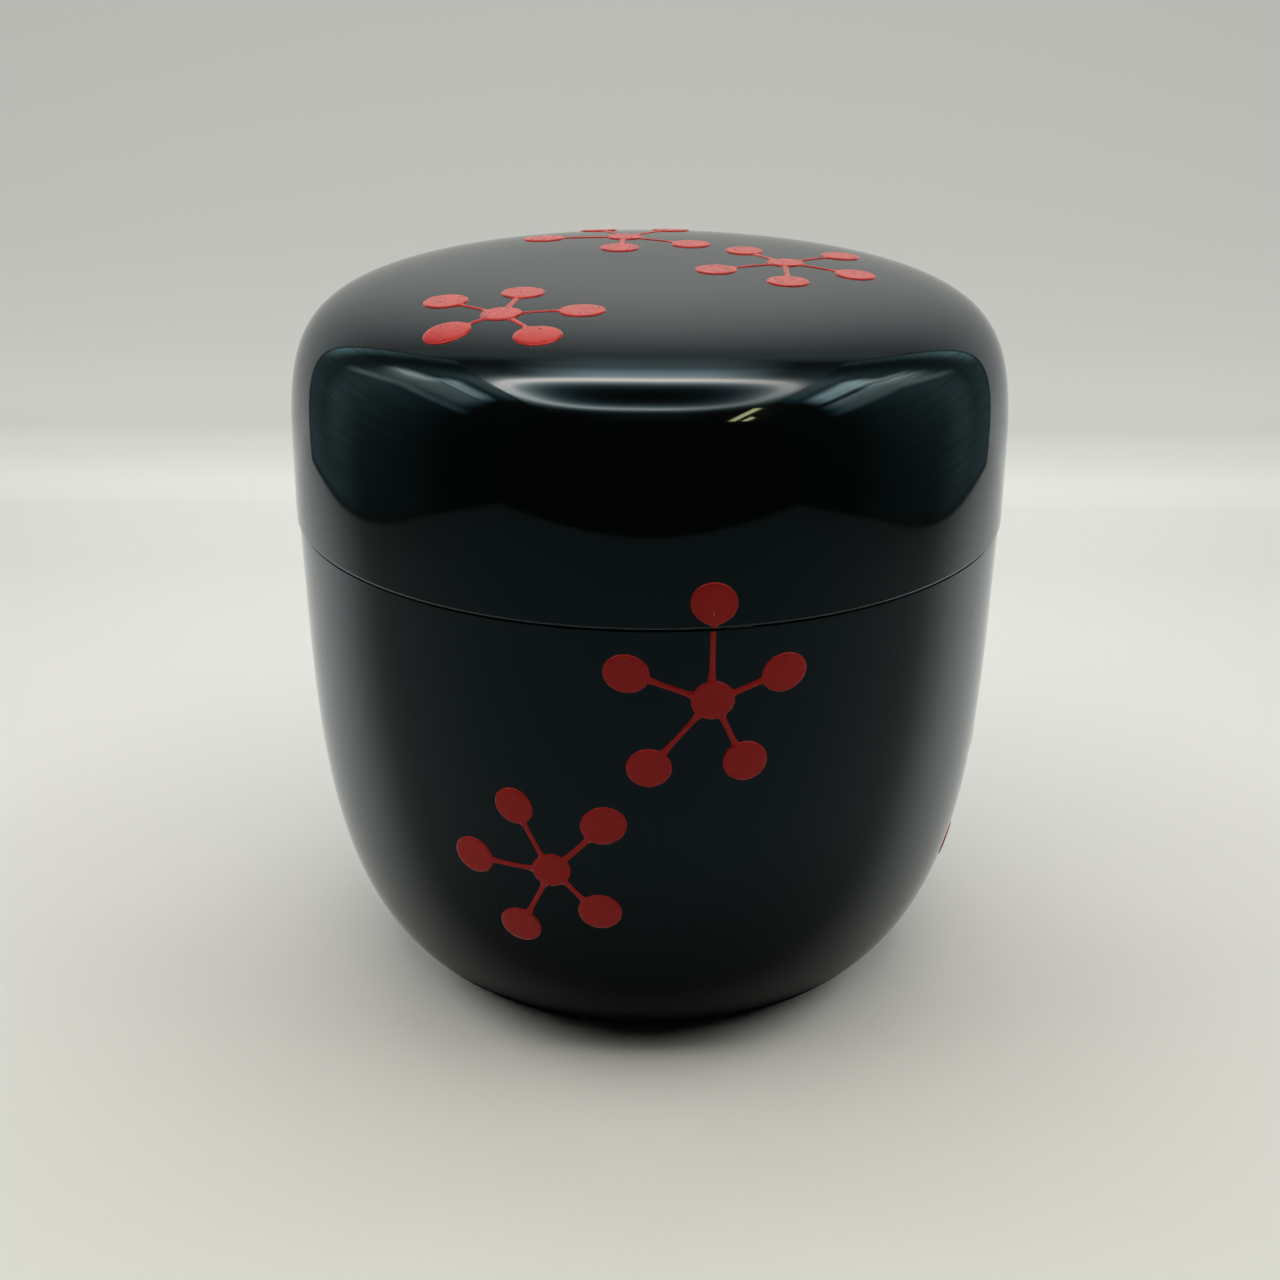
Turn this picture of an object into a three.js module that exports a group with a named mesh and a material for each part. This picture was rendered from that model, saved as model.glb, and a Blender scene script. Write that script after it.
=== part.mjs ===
import * as THREE from 'three';

// Lidded tea caddy in millimetres. +Z is up, the front faces -Y, and it stands on z = 0.
// Azimuths are in degrees from the front, growing towards +X.

// Outside of the lid
const lidEdgeRadius = 33;
const lidHeight = 21.6;
const shoulderHeight = 7.4;
const shoulderTuck = 0.28;
const domeFlatShare = 0.873;
const sideFallShares = [0.3, 0.6];

// Outside of the body
const bodyHeight = 45.2;
const lidOverhang = 0.18;
const sideTuck = 0.5;
const sideFallShare = 0.355;
const footRadius = 21.6;
const footFlare = 12;
const footRise = 5.5;

// Lacquer coats and the small chamfers on the two meeting edges
const coat = 0.35;
const edgeChamfer = 0.22;

// Lid wall and the space inside it
const lidWall = 2.1;
const lidTopThickness = 3.1;
const lidCornerHeight = 7.6;
const lidCornerShare = 0.6;
const lidCornerPullShare = 0.85;

// Upright rim that the lid slides over
const rimClearance = 0.15;
const rimThickness = 1.7;
const rimHeight = 6.8;

// Tea well, which follows the outside of the body down to its floor
const wellFloor = 3.6;

// Underside
const footRingWidth = 2.6;
const footRecess = 0.7;

// Painted ornament: discs on thin stalks
const paintGap = 0.03;
const paintThickness = 0.13;
const paintEdge = 0.06;
const discRadius = 1.9;
const heartRadius = 1.74;
const stalkWidth = 0.5;
const stalkReach = 7;
const stalkEndMargin = 0.06;
const budHeight = 2.35;
const crownShare = 0.78;

// Facets
const turnSegments = 48;
const domeSteps = 10;
const bodySteps = 11;
const innerSteps = 6;
const outlineSteps = 160;
const discSegments = 14;
const stalkSteps = 2;

const seatHeight = bodyHeight;
const topHeight = seatHeight + lidHeight;
const bodyEdgeRadius = lidEdgeRadius - lidOverhang;
const lidBoreRadius = lidEdgeRadius - lidWall - coat - coat;
const rimRadius = lidBoreRadius - rimClearance;
const wellRadius = rimRadius - rimThickness;
const bodyWall = bodyEdgeRadius - wellRadius;
const rimTop = seatHeight + rimHeight;
const lidCeiling = topHeight - lidTopThickness;

const lacquer = new THREE.MeshStandardMaterial({ color: 0x14191c, roughness: 0.1, metalness: 0 });
const innerLacquer = new THREE.MeshStandardMaterial({ color: 0x121415, roughness: 0.22, metalness: 0 });
const footLacquer = new THREE.MeshStandardMaterial({ color: 0x101314, roughness: 0.3, metalness: 0 });
const wood = new THREE.MeshStandardMaterial({ color: 0xb48f62, roughness: 0.8, metalness: 0 });
const redPaint = new THREE.MeshStandardMaterial({ color: 0x6a2120, roughness: 0.3, metalness: 0 });

const point = (radius, height) => new THREE.Vector2(radius, height);

function bend(from, firstPull, secondPull, to) {
  return new THREE.CubicBezierCurve(from, firstPull, secondPull, to);
}

// Points of a curve moved sideways by a distance, to the left of its direction of travel
function beside(curve, steps, distance) {
  const points = [];
  for (let i = 0; i <= steps; i += 1) {
    const along = curve.getTangent(i / steps);
    const side = point(-along.y, along.x);
    points.push(curve.getPoint(i / steps).addScaledVector(side, distance));
  }
  return points;
}

// The last stretch of a line of points, run on or cut back to a height
function endAtHeight(points, height) {
  const kept = points.slice();
  while (kept.length > 2 && (kept[kept.length - 2].y - height) * (kept[0].y - height) <= 0) kept.pop();
  const last = kept[kept.length - 1];
  const before = kept[kept.length - 2];
  const share = (height - before.y) / (last.y - before.y);
  kept[kept.length - 1] = before.clone().lerp(last, share);
  return kept;
}

function turned(name, outline, material) {
  const geometry = new THREE.LatheGeometry(outline, turnSegments);
  geometry.rotateX(Math.PI / 2);
  const mesh = new THREE.Mesh(geometry, material);
  mesh.name = name;
  return mesh;
}

// Outside curves, both drawn from the top down
const shoulderRadius = lidEdgeRadius - shoulderTuck;
const shoulder = point(shoulderRadius, seatHeight + shoulderHeight);
const domeCurve = bend(
  point(0, topHeight),
  point(shoulderRadius * domeFlatShare, topHeight),
  point(shoulderRadius, topHeight),
  shoulder,
);
const sideCurve = bend(
  shoulder,
  point(shoulderRadius, seatHeight + shoulderHeight * sideFallShares[1]),
  point(lidEdgeRadius, seatHeight + shoulderHeight * sideFallShares[0]),
  point(lidEdgeRadius, seatHeight + edgeChamfer),
);
const bodyCurve = bend(
  point(bodyEdgeRadius, seatHeight - edgeChamfer),
  point(bodyEdgeRadius - sideTuck, seatHeight - bodyHeight * sideFallShare),
  point(footRadius + footFlare, coat + footRise),
  point(footRadius, coat),
);

// Inside of the lid, drawn from the mouth to the middle
const lidBoreTop = lidCeiling - lidCornerHeight;
const lidCorner = bend(
  point(lidBoreRadius, lidBoreTop),
  point(lidBoreRadius, lidBoreTop + lidCornerHeight * lidCornerPullShare),
  point(lidBoreRadius * lidCornerPullShare, lidCeiling),
  point(lidBoreRadius * lidCornerShare, lidCeiling),
);

const domeOuter = beside(domeCurve, domeSteps, 0);
const sideOuter = beside(sideCurve, 2, 0).slice(1);
const domeInner = beside(domeCurve, domeSteps, -coat);
const sideInner = endAtHeight(beside(sideCurve, 2, -coat).slice(1), seatHeight + coat);
const bodyOuter = beside(bodyCurve, bodySteps, 0);
const bodyCoatInner = endAtHeight(beside(bodyCurve, bodySteps, -coat).slice(1), coat);
const lidCornerFace = beside(lidCorner, innerSteps, 0);
const lidCornerBack = beside(lidCorner, innerSteps, -coat);

// Inside of the body at a depth under its outside, from the seat down to a floor
function wellLine(depth, floor) {
  const bowl = beside(bodyCurve, bodySteps, -depth).slice(1);
  return [point(bodyEdgeRadius - depth, seatHeight), ...endAtHeight(bowl, floor)];
}

const wellFace = wellLine(bodyWall, wellFloor);
const wellBack = wellLine(bodyWall - coat, wellFloor - coat);
domeInner[0].x = 0;

const lidCoatInner = [...domeInner, ...sideInner];
const lidOuter = [...domeOuter, ...sideOuter];
const bodyCoatBack = [point(bodyEdgeRadius - coat, seatHeight - coat), ...bodyCoatInner];
const upward = (points) => points.slice().reverse();

// Lid: a wooden core with a lacquer coat on its outside and one on its inside
const lidOuterCoat = turned('lid_outer_coat', [
  ...lidCoatInner,
  point(lidBoreRadius, seatHeight + coat),
  point(lidBoreRadius, seatHeight),
  point(lidEdgeRadius - edgeChamfer, seatHeight),
  ...upward(lidOuter),
], lacquer);

const lidCore = turned('lid_core', [
  point(0, lidCeiling + coat),
  ...upward(lidCornerBack),
  point(lidBoreRadius + coat, seatHeight + coat),
  ...upward(lidCoatInner),
], wood);

const lidInnerCoat = turned('lid_inner_coat', [
  point(0, lidCeiling),
  ...upward(lidCornerFace),
  point(lidBoreRadius, seatHeight + coat),
  point(lidBoreRadius + coat, seatHeight + coat),
  ...lidCornerBack,
  point(0, lidCeiling + coat),
], innerLacquer);

// Underside: a ring to stand on around a shallow recess
const standRadius = footRadius - coat;
const ringInner = standRadius - footRingWidth;
const recessRadius = ringInner - footRecess;
const footCoat = turned('foot_coat', [
  point(0, footRecess),
  point(recessRadius, footRecess),
  point(ringInner, 0),
  point(standRadius, 0),
  point(footRadius, coat),
  point(ringInner, coat),
  point(recessRadius, footRecess + coat),
  point(0, footRecess + coat),
], footLacquer);

// Body: the outer coat covers the side and the seat, the inner one the rim and the well
const bodyOuterCoat = turned('body_outer_coat', [
  ...upward(bodyOuter),
  point(bodyEdgeRadius - edgeChamfer, seatHeight),
  point(rimRadius - coat, seatHeight),
  point(rimRadius - coat, seatHeight - coat),
  ...bodyCoatBack,
  point(footRadius, coat),
], lacquer);

const bodyCore = turned('body_core', [
  point(0, footRecess + coat),
  point(recessRadius, footRecess + coat),
  point(ringInner, coat),
  ...upward(bodyCoatBack),
  point(rimRadius - coat, seatHeight - coat),
  point(rimRadius - coat, rimTop - coat),
  point(wellRadius + coat, rimTop - coat),
  ...wellBack,
  point(0, wellFloor - coat),
], wood);

const bodyInnerCoat = turned('body_inner_coat', [
  point(0, wellFloor - coat),
  ...upward(wellBack),
  point(wellRadius + coat, rimTop - coat),
  point(rimRadius - coat, rimTop - coat),
  point(rimRadius - coat, seatHeight),
  point(rimRadius, seatHeight),
  point(rimRadius, rimTop - edgeChamfer),
  point(rimRadius - edgeChamfer, rimTop),
  point(wellRadius + edgeChamfer, rimTop),
  point(wellRadius, rimTop - edgeChamfer),
  ...wellFace,
  point(0, wellFloor),
], innerLacquer);

// Lines down the outside that the ornament lies on
const lidOutline = [
  ...domeCurve.getPoints(outlineSteps),
  ...sideCurve.getPoints(outlineSteps).slice(1),
];
const bodyOutline = bodyCurve.getPoints(outlineSteps);

// Length along an outline, from its top, to where its x or y reaches a value
function lengthTo(outline, key, value) {
  let length = 0;
  for (let i = 1; i < outline.length; i += 1) {
    const from = outline[i - 1];
    const to = outline[i];
    const span = from.distanceTo(to);
    if (from[key] !== to[key] && (from[key] - value) * (to[key] - value) <= 0) {
      return length + span * (value - from[key]) / (to[key] - from[key]);
    }
    length += span;
  }
  return length;
}

// Spot on an outline and the direction that faces out of it there
function spotAt(outline, length) {
  let left = length;
  let i = 1;
  while (i < outline.length - 1 && left > outline[i].distanceTo(outline[i - 1])) {
    left -= outline[i].distanceTo(outline[i - 1]);
    i += 1;
  }
  const along = outline[i].clone().sub(outline[i - 1]).normalize();
  const spot = outline[i - 1].clone().addScaledVector(along, left);
  return { spot, out: point(-along.y, along.x) };
}

function liftedOff(outline, length, azimuth, lift) {
  const { spot, out } = spotAt(outline, length);
  const radius = spot.x + out.x * lift;
  const height = spot.y + out.y * lift;
  return new THREE.Vector3(radius * Math.sin(azimuth), -radius * Math.cos(azimuth), height);
}

// Two ways to lay a flat drawing on the caddy: seen from above, or wrapped round its side
function fromAbove(outline, azimuth, radius) {
  const centreX = radius * Math.sin(azimuth);
  const centreY = -radius * Math.cos(azimuth);
  return (mark, lift) => {
    const x = centreX + mark.x;
    const y = centreY + mark.y;
    return liftedOff(outline, lengthTo(outline, 'x', Math.hypot(x, y)), Math.atan2(x, -y), lift);
  };
}

function roundTheSide(outline, azimuth, height) {
  const middle = lengthTo(outline, 'y', height);
  return (mark, lift) => {
    const length = middle - mark.y;
    return liftedOff(outline, length, azimuth + mark.x / spotAt(outline, length).spot.x, lift);
  };
}

// A drawing is a list of marks, the facets of its raised face and those of its underside
const newDrawing = () => ({ marks: [], face: [], under: [] });

function addMark(drawing, x, y, lift) {
  drawing.marks.push({ x, y, lift });
  return drawing.marks.length - 1;
}

// Disc with one flat side, as wide as a stalk, at each given angle
function addDisc(drawing, x, y, radius, angles) {
  const spread = Math.asin(stalkWidth / (radius + radius));
  const turn = Math.PI * 2;
  const corners = [];
  const ends = [];
  angles.forEach((angle, k) => {
    const next = k + 1 < angles.length ? angles[k + 1] : angles[0] + turn;
    const gap = next - angle - spread - spread;
    const parts = Math.max(2, Math.round(gap / turn * discSegments));
    ends.push([corners.length, corners.length + 1]);
    corners.push(angle - spread);
    for (let i = 0; i < parts; i += 1) corners.push(angle + spread + gap * i / parts);
  });
  const ring = (size, lift) => corners.map(
    (angle) => addMark(drawing, x + size * Math.cos(angle), y + size * Math.sin(angle), lift),
  );
  const rim = ring(radius, paintEdge);
  const crown = ring(radius * crownShare, paintThickness);
  const middle = addMark(drawing, x, y, paintThickness);
  rim.forEach((here, i) => {
    const j = (i + 1) % rim.length;
    drawing.face.push([here, rim[j], crown[j]], [here, crown[j], crown[i]]);
    drawing.face.push([crown[i], crown[j], middle]);
    drawing.under.push([here, rim[j], middle]);
  });
  return ends.map(([right, left]) => ({ right: rim[right], left: rim[left] }));
}

// Stalk between two pairs of marks, in a few steps so that it follows the surface
function addStalk(drawing, from, to) {
  let { right, left } = from;
  const step = (a, b, share) => {
    const start = drawing.marks[a];
    const end = drawing.marks[b];
    const x = start.x + (end.x - start.x) * share;
    const y = start.y + (end.y - start.y) * share;
    return addMark(drawing, x, y, paintEdge);
  };
  for (let i = 1; i <= stalkSteps; i += 1) {
    const nextRight = i < stalkSteps ? step(from.right, to.right, i / stalkSteps) : to.right;
    const nextLeft = i < stalkSteps ? step(from.left, to.left, i / stalkSteps) : to.left;
    const facets = [[right, nextRight, nextLeft], [right, nextLeft, left]];
    drawing.face.push(...facets);
    drawing.under.push(...facets);
    right = nextRight;
    left = nextLeft;
  }
}

// Cut end of a stalk that has no disc
function stalkEnd(drawing, angle, reach) {
  const half = stalkWidth / 2;
  const x = reach * Math.cos(angle);
  const y = reach * Math.sin(angle);
  const acrossX = -Math.sin(angle) * half;
  const acrossY = Math.cos(angle) * half;
  return {
    right: addMark(drawing, x - acrossX, y - acrossY, paintEdge),
    left: addMark(drawing, x + acrossX, y + acrossY, paintEdge),
  };
}

// Closed solid from a drawing: raised face, underside, and a wall along its outline
function painted(name, drawing, lay) {
  const raised = drawing.marks.map((mark) => lay(mark, mark.lift));
  const low = drawing.marks.map((mark) => lay(mark, paintGap));
  const corners = [];
  const edges = new Map();
  drawing.face.forEach(([a, b, c]) => {
    corners.push(raised[a], raised[b], raised[c]);
    [[a, b], [b, c], [c, a]].forEach(([from, to]) => edges.set(`${from} ${to}`, [from, to]));
  });
  drawing.under.forEach(([a, b, c]) => corners.push(low[a], low[c], low[b]));
  edges.forEach(([from, to]) => {
    if (edges.has(`${to} ${from}`)) return;
    corners.push(low[from], low[to], raised[to]);
    corners.push(low[from], raised[to], raised[from]);
  });
  const geometry = new THREE.BufferGeometry().setFromPoints(corners);
  geometry.computeVertexNormals();
  const mesh = new THREE.Mesh(geometry, redPaint);
  mesh.name = name;
  return mesh;
}

const radians = THREE.MathUtils.degToRad;

// A heart disc with five stalks. A stalk with a cut reach stops there and has no disc
function blossom(name, lay, angles, reachShares, cutReaches = {}) {
  const drawing = newDrawing();
  const turns = angles.map(radians);
  const doors = addDisc(drawing, 0, 0, heartRadius, turns);
  turns.forEach((angle, k) => {
    if (k in cutReaches) {
      addStalk(drawing, doors[k], stalkEnd(drawing, angle, cutReaches[k]));
      return;
    }
    const reach = stalkReach * reachShares[k];
    const x = reach * Math.cos(angle);
    const y = reach * Math.sin(angle);
    const [end] = addDisc(drawing, x, y, discRadius, [angle + Math.PI]);
    addStalk(drawing, doors[k], { right: end.left, left: end.right });
  });
  return painted(name, drawing, lay);
}

// Blossoms on top of the lid. Stalk angles are in degrees from the right, seen from above
const topBlossomShares = [
  {
    name: 'lid_blossom_left',
    azimuth: -37,
    outShare: 0.616,
    stalkAngles: [2, 79, 138, 218, 300],
    reachShares: [0.96, 0.94, 0.96, 0.8, 0.97],
  },
  {
    name: 'lid_blossom_right',
    azimuth: 105,
    outShare: 0.39,
    stalkAngles: [41, 124, 209, 268, 326],
    reachShares: [1.08, 0.95, 1.06, 1.17, 1.04],
  },
  {
    name: 'lid_blossom_back',
    azimuth: 189,
    outShare: 0.513,
    stalkAngles: [55, 112, 183, 266, 328],
    reachShares: [1.14, 1.05, 1.14, 0.9, 1.08],
  },
];

// Blossoms round the body. Stalk angles are in degrees from the right, seen from outside
const sideBlossomShares = [
  {
    name: 'body_blossom_left',
    azimuth: -14.8,
    heightShare: 0.495,
    stalkAngles: [47, 117, 181, 245, 316],
    reachShares: [0.97, 0.94, 1.02, 1.08, 0.85],
  },
  {
    name: 'body_blossom_right',
    azimuth: 86,
    heightShare: 0.34,
    stalkAngles: [40, 105, 205, 275, 335],
    reachShares: [0.95, 1.02, 0.94, 1, 0.92],
  },
  {
    name: 'body_blossom_back',
    azimuth: 158,
    heightShare: 0.66,
    stalkAngles: [12, 85, 160, 228, 301],
    reachShares: [1, 0.94, 1.04, 0.97, 1.02],
  },
  {
    name: 'body_blossom_side',
    azimuth: -104,
    heightShare: 0.6,
    stalkAngles: [25, 98, 170, 240, 312],
    reachShares: [0.95, 1.05, 0.98, 1, 0.93],
  },
];

const lidParts = topBlossomShares.map(({ name, azimuth, outShare, stalkAngles, reachShares }) => {
  const lay = fromAbove(lidOutline, radians(azimuth), lidEdgeRadius * outShare);
  return blossom(name, lay, stalkAngles, reachShares);
});
const bodyParts = sideBlossomShares.map(({ name, azimuth, heightShare, stalkAngles, reachShares }) => {
  const lay = roundTheSide(bodyOutline, radians(azimuth), bodyHeight * heightShare);
  return blossom(name, lay, stalkAngles, reachShares);
});

// The front blossom crosses the joint: its upper disc is on the lid, the rest on the body
const crossingAzimuth = radians(9.1);
const crossingAngles = [18, 91, 160, 230, 296];
const crossingShares = [0.9, 1.2, 1.06, 1.13, 0.91];
const crossingDrop = stalkReach * crossingShares[1] - budHeight;
const crossingHeight = seatHeight - crossingDrop;
const crossingLay = roundTheSide(bodyOutline, crossingAzimuth, crossingHeight);
const toBodyEdge = lengthTo(bodyOutline, 'y', crossingHeight) - stalkEndMargin;
bodyParts.push(blossom(
  'body_blossom_front', crossingLay, crossingAngles, crossingShares, { 1: toBodyEdge },
));

const budLay = roundTheSide(lidOutline, crossingAzimuth, seatHeight + budHeight);
const toLidEdge = lengthTo(lidOutline, 'y', seatHeight + edgeChamfer)
  - lengthTo(lidOutline, 'y', seatHeight + budHeight) - stalkEndMargin;
const bud = newDrawing();
const downward = -Math.PI / 2;
const [budDoor] = addDisc(bud, 0, 0, discRadius, [downward]);
addStalk(bud, budDoor, stalkEnd(bud, downward, toLidEdge));
lidParts.push(painted('lid_blossom_front', bud, budLay));

const caddy = new THREE.Group();
caddy.name = 'tea_caddy';
caddy.add(bodyCore, bodyOuterCoat, bodyInnerCoat, footCoat, ...bodyParts);
caddy.add(lidCore, lidOuterCoat, lidInnerCoat, ...lidParts);

export default caddy;
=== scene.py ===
import bmesh
import bpy
from math import cos, hypot, pi, radians, sin, tan
from mathutils import Matrix, Vector


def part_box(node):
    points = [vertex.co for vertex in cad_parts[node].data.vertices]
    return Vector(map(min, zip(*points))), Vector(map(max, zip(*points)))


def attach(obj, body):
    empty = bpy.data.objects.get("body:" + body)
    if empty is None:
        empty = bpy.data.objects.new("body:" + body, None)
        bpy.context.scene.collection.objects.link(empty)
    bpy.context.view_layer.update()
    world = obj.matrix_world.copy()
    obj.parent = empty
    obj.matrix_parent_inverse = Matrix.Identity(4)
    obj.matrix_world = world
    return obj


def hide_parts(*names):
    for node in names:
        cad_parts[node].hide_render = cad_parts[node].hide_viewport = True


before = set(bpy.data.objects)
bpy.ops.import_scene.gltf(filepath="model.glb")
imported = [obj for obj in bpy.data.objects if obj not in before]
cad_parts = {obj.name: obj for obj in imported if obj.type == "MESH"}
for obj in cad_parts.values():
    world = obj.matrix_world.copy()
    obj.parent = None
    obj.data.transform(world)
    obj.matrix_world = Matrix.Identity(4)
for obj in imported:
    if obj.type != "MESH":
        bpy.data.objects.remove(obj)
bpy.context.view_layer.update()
mm = 0.001
print("frame loaded")

# Driving sizes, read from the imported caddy
lidLow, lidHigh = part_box("lid_outer_coat")
bodyLow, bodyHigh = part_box("body_outer_coat")
mouthLow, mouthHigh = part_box("body_inner_coat")
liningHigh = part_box("lid_inner_coat")[1]
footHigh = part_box("foot_coat")[1]

caddy = {
    "lidRadius": lidHigh.x,
    "lidTop": lidHigh.z,
    "seat": lidLow.z,
    "bodyRadius": bodyHigh.x,
    "footLine": bodyLow.z,  # where the side's lacquer ends and the foot's begins
    "footRadius": footHigh.x,
    "rimRadius": mouthHigh.x,
    "rimTop": mouthHigh.z,
    "coat": 0.35 * mm,
    "edge": 0.22 * mm,  # rounding of the two edges that meet
    "edgeSteps": 5,
    "lineSteps": 64,
    "turnSteps": 192,
    "straight": 0.05,  # degrees; turning lines with less of a bend keep no steps
    "weld": 0.001 * mm,
    "cornerReach": 0.02 * mm,  # how near a vertex lies to the corner that it belongs to
}
caddy["boreRadius"] = liningHigh.x - caddy["coat"]
caddy["ceiling"] = liningHigh.z - caddy["coat"]
caddy["wellFloor"] = mouthLow.z + caddy["coat"]


def nothingSelected():
    if bpy.context.object and bpy.context.object.mode != "OBJECT":
        bpy.ops.object.mode_set(mode="OBJECT")
    bpy.ops.object.select_all(action="DESELECT")


def workOn(piece):
    nothingSelected()
    piece.select_set(True)
    bpy.context.view_layer.objects.active = piece


def knot(radius, height, before=None, after=None):
    # One knot of a turning line, with the pulls of the stretch before it and after it
    spot = (radius, height)
    return spot, before or spot, after or spot


def drawLine(name, knots):
    nothingSelected()
    bpy.ops.curve.primitive_bezier_curve_add(location=(0, 0, 0))
    line = bpy.context.object
    line.name = name
    line.data.dimensions = "3D"
    line.data.resolution_u = caddy["lineSteps"]
    points = line.data.splines[0].bezier_points
    points.add(len(knots) - 2)
    for point, (spot, before, after) in zip(points, knots):
        point.handle_left_type = point.handle_right_type = "FREE"
        point.co = (spot[0], 0, spot[1])
        point.handle_left = (before[0], 0, before[1])
        point.handle_right = (after[0], 0, after[1])
    bpy.ops.object.convert(target="MESH")
    return bpy.context.object


def turnOnLathe(piece):
    workOn(piece)
    bpy.ops.object.mode_set(mode="EDIT")
    bpy.ops.mesh.select_all(action="SELECT")
    bpy.ops.mesh.dissolve_limited(angle_limit=radians(caddy["straight"]))
    bpy.ops.mesh.select_all(action="SELECT")
    bpy.ops.mesh.spin(steps=caddy["turnSteps"], angle=2 * pi, center=(0, 0, 0), axis=(0, 0, 1), use_auto_merge=True)
    bpy.ops.mesh.select_all(action="SELECT")
    bpy.ops.mesh.remove_doubles(threshold=caddy["weld"])
    bpy.ops.mesh.normals_make_consistent(inside=False)
    bpy.ops.object.mode_set(mode="OBJECT")


def applyModifier(piece, modifier):
    workOn(piece)
    bpy.ops.object.modifier_apply(modifier=modifier.name)


def giveThickness(piece, depth, side):
    wall = piece.modifiers.new("wall", "SOLIDIFY")
    wall.thickness = depth
    wall.offset = side  # -1 grows inwards, 1 grows outwards
    wall.use_even_offset = True
    applyModifier(piece, wall)


def roundEdges(piece, corners, width, steps):
    # Rounds the circles that pass through the given (radius, height) corners
    workOn(piece)
    bpy.ops.object.mode_set(mode="EDIT")
    bpy.ops.mesh.select_mode(type="EDGE")
    bpy.ops.mesh.select_all(action="DESELECT")
    mesh = bmesh.from_edit_mesh(piece.data)

    def onCorner(vert):
        return any(
            hypot(hypot(vert.co.x, vert.co.y) - radius, vert.co.z - height) < caddy["cornerReach"]
            for radius, height in corners
        )

    for edge in mesh.edges:
        if all(onCorner(vert) for vert in edge.verts):
            edge.select_set(True)
    bmesh.update_edit_mesh(piece.data)
    bpy.ops.mesh.bevel(offset=width, offset_type="OFFSET", segments=steps, profile=0.5, affect="EDGES")
    bpy.ops.object.mode_set(mode="OBJECT")


def finishPiece(piece, name, body, node, look, smoothAngle=35):
    workOn(piece)
    piece.name = name
    piece.data.name = name
    bpy.ops.object.shade_smooth_by_angle(angle=radians(smoothAngle))
    piece.data.materials.clear()
    piece.data.materials.append(look)
    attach(piece, body)
    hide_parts(node)
    return piece


# Node shorthand for the finishes
def feed(look, node, values):
    # Gives inputs of a node a plain value, a colour or the output of another node
    for key, value in values.items():
        socket = node.inputs[key]
        if isinstance(value, bpy.types.NodeSocket):
            look.node_tree.links.new(value, socket)
        else:
            socket.default_value = (*value, 1) if socket.type == "RGBA" else value


def addNode(look, kind, values=None, settings=None):
    node = look.node_tree.nodes.new(kind)
    for key, value in (settings or {}).items():
        setattr(node, key, value)
    feed(look, node, values or {})
    return node


def newLook(name):
    look = bpy.data.materials.new(name)
    look.use_nodes = True
    shader = look.node_tree.nodes["Principled BSDF"]
    place = addNode(look, "ShaderNodeTexCoord").outputs["Object"]
    return look, shader, place


def noiseAt(look, place, scale, detail=2.0, roughness=0.5, stretch=None):
    if stretch:
        place = addNode(look, "ShaderNodeMapping", {"Vector": place, "Scale": stretch}).outputs["Vector"]
    noise = addNode(look, "ShaderNodeTexNoise", {
        "Vector": place, "Scale": scale, "Detail": detail, "Roughness": roughness})
    return noise.outputs["Fac"]


def axesOf(look, place):
    return addNode(look, "ShaderNodeSeparateXYZ", {"Vector": place}).outputs[:]


def spread(look, value, fromLow, fromHigh, toLow, toHigh):
    ranged = addNode(look, "ShaderNodeMapRange", {
        "Value": value, "From Min": fromLow, "From Max": fromHigh, "To Min": toLow, "To Max": toHigh})
    return ranged.outputs["Result"]


def softSpread(look, value, *limits):
    ranged = spread(look, value, *limits)
    ranged.node.interpolation_type = "SMOOTHSTEP"
    return ranged


def roughFrom(look, noise, low, high):
    # most of the noise lies between 0.3 and 0.7
    return spread(look, noise, 0.3, 0.7, low, high)


def window(look, value, start, startSoft, stop, stopSoft):
    # 1 between start and stop, with soft ends inside them
    rise = softSpread(look, value, start, start + startSoft, 0, 1)
    return multiply(look, rise, softSpread(look, value, stop - stopSoft, stop, 1, 0))


def blendColours(look, share, first, second):
    return addNode(look, "ShaderNodeMix", settings={"data_type": "RGBA"}, values={
        0: share, 6: first, 7: second}).outputs[2]


def facingAway(look):
    # 0 where a surface is seen straight on, 1 where it turns away
    return addNode(look, "ShaderNodeLayerWeight", {"Blend": 0.5}).outputs["Facing"]


def calculate(look, operation, first, second=0.0):
    return addNode(look, "ShaderNodeMath", {0: first, 1: second}, {"operation": operation}).outputs[0]


def multiply(look, first, *others):
    for other in others:
        first = calculate(look, "MULTIPLY", first, other)
    return first


def bumpFrom(look, height, depth, strength, before=None):
    bump = addNode(look, "ShaderNodeBump", {"Height": height, "Distance": depth, "Strength": strength})
    if before:
        feed(look, bump, {"Normal": before})
    return bump.outputs["Normal"]


# Noise is given by scale, detail, roughness and stretch, a bump by depth and strength,
# and a range by from, to and the values at both

# Polished black lacquer on the outside of body and lid
blackGloss = {
    "deep": (0.0014, 0.0024, 0.0021),
    "clouded": (0.0024, 0.0038, 0.0034),
    "cloud": (70, 3),
    "ior": 1.5,
    "tint": (0.47, 0.77, 1.0),
    "gloss": (0.14, 1.0),  # specular level seen straight on, and towards the edges
    "slant": (0.426, 0.722),
    "footShadeGloss": (3.5 * mm, 28 * mm, 0, 1),  # the gloss comes in between these heights; below them it is turned down as painted shade, for the shadow under the caddy that the lower body mirrors
    "polish": (420, 4, 0.6, (1, 1, 0.18)),
    "rough": (0.04, 0.07),
    "swell": (45, 1),
    "swellBump": (0.05 * mm, 0.35),
    "skin": (700, 2),
    "skinBump": (0.004 * mm, 0.2),
    "wearAndHighlight": (0.022, 0.027, 0.027),  # lower edge of the lid, painted paler as a highlight on its rounding
    "edgeHighlightBand": (caddy["seat"] + 0.02 * mm, 0.05 * mm, caddy["seat"] + 0.26 * mm, 0.08 * mm),
}


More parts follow.
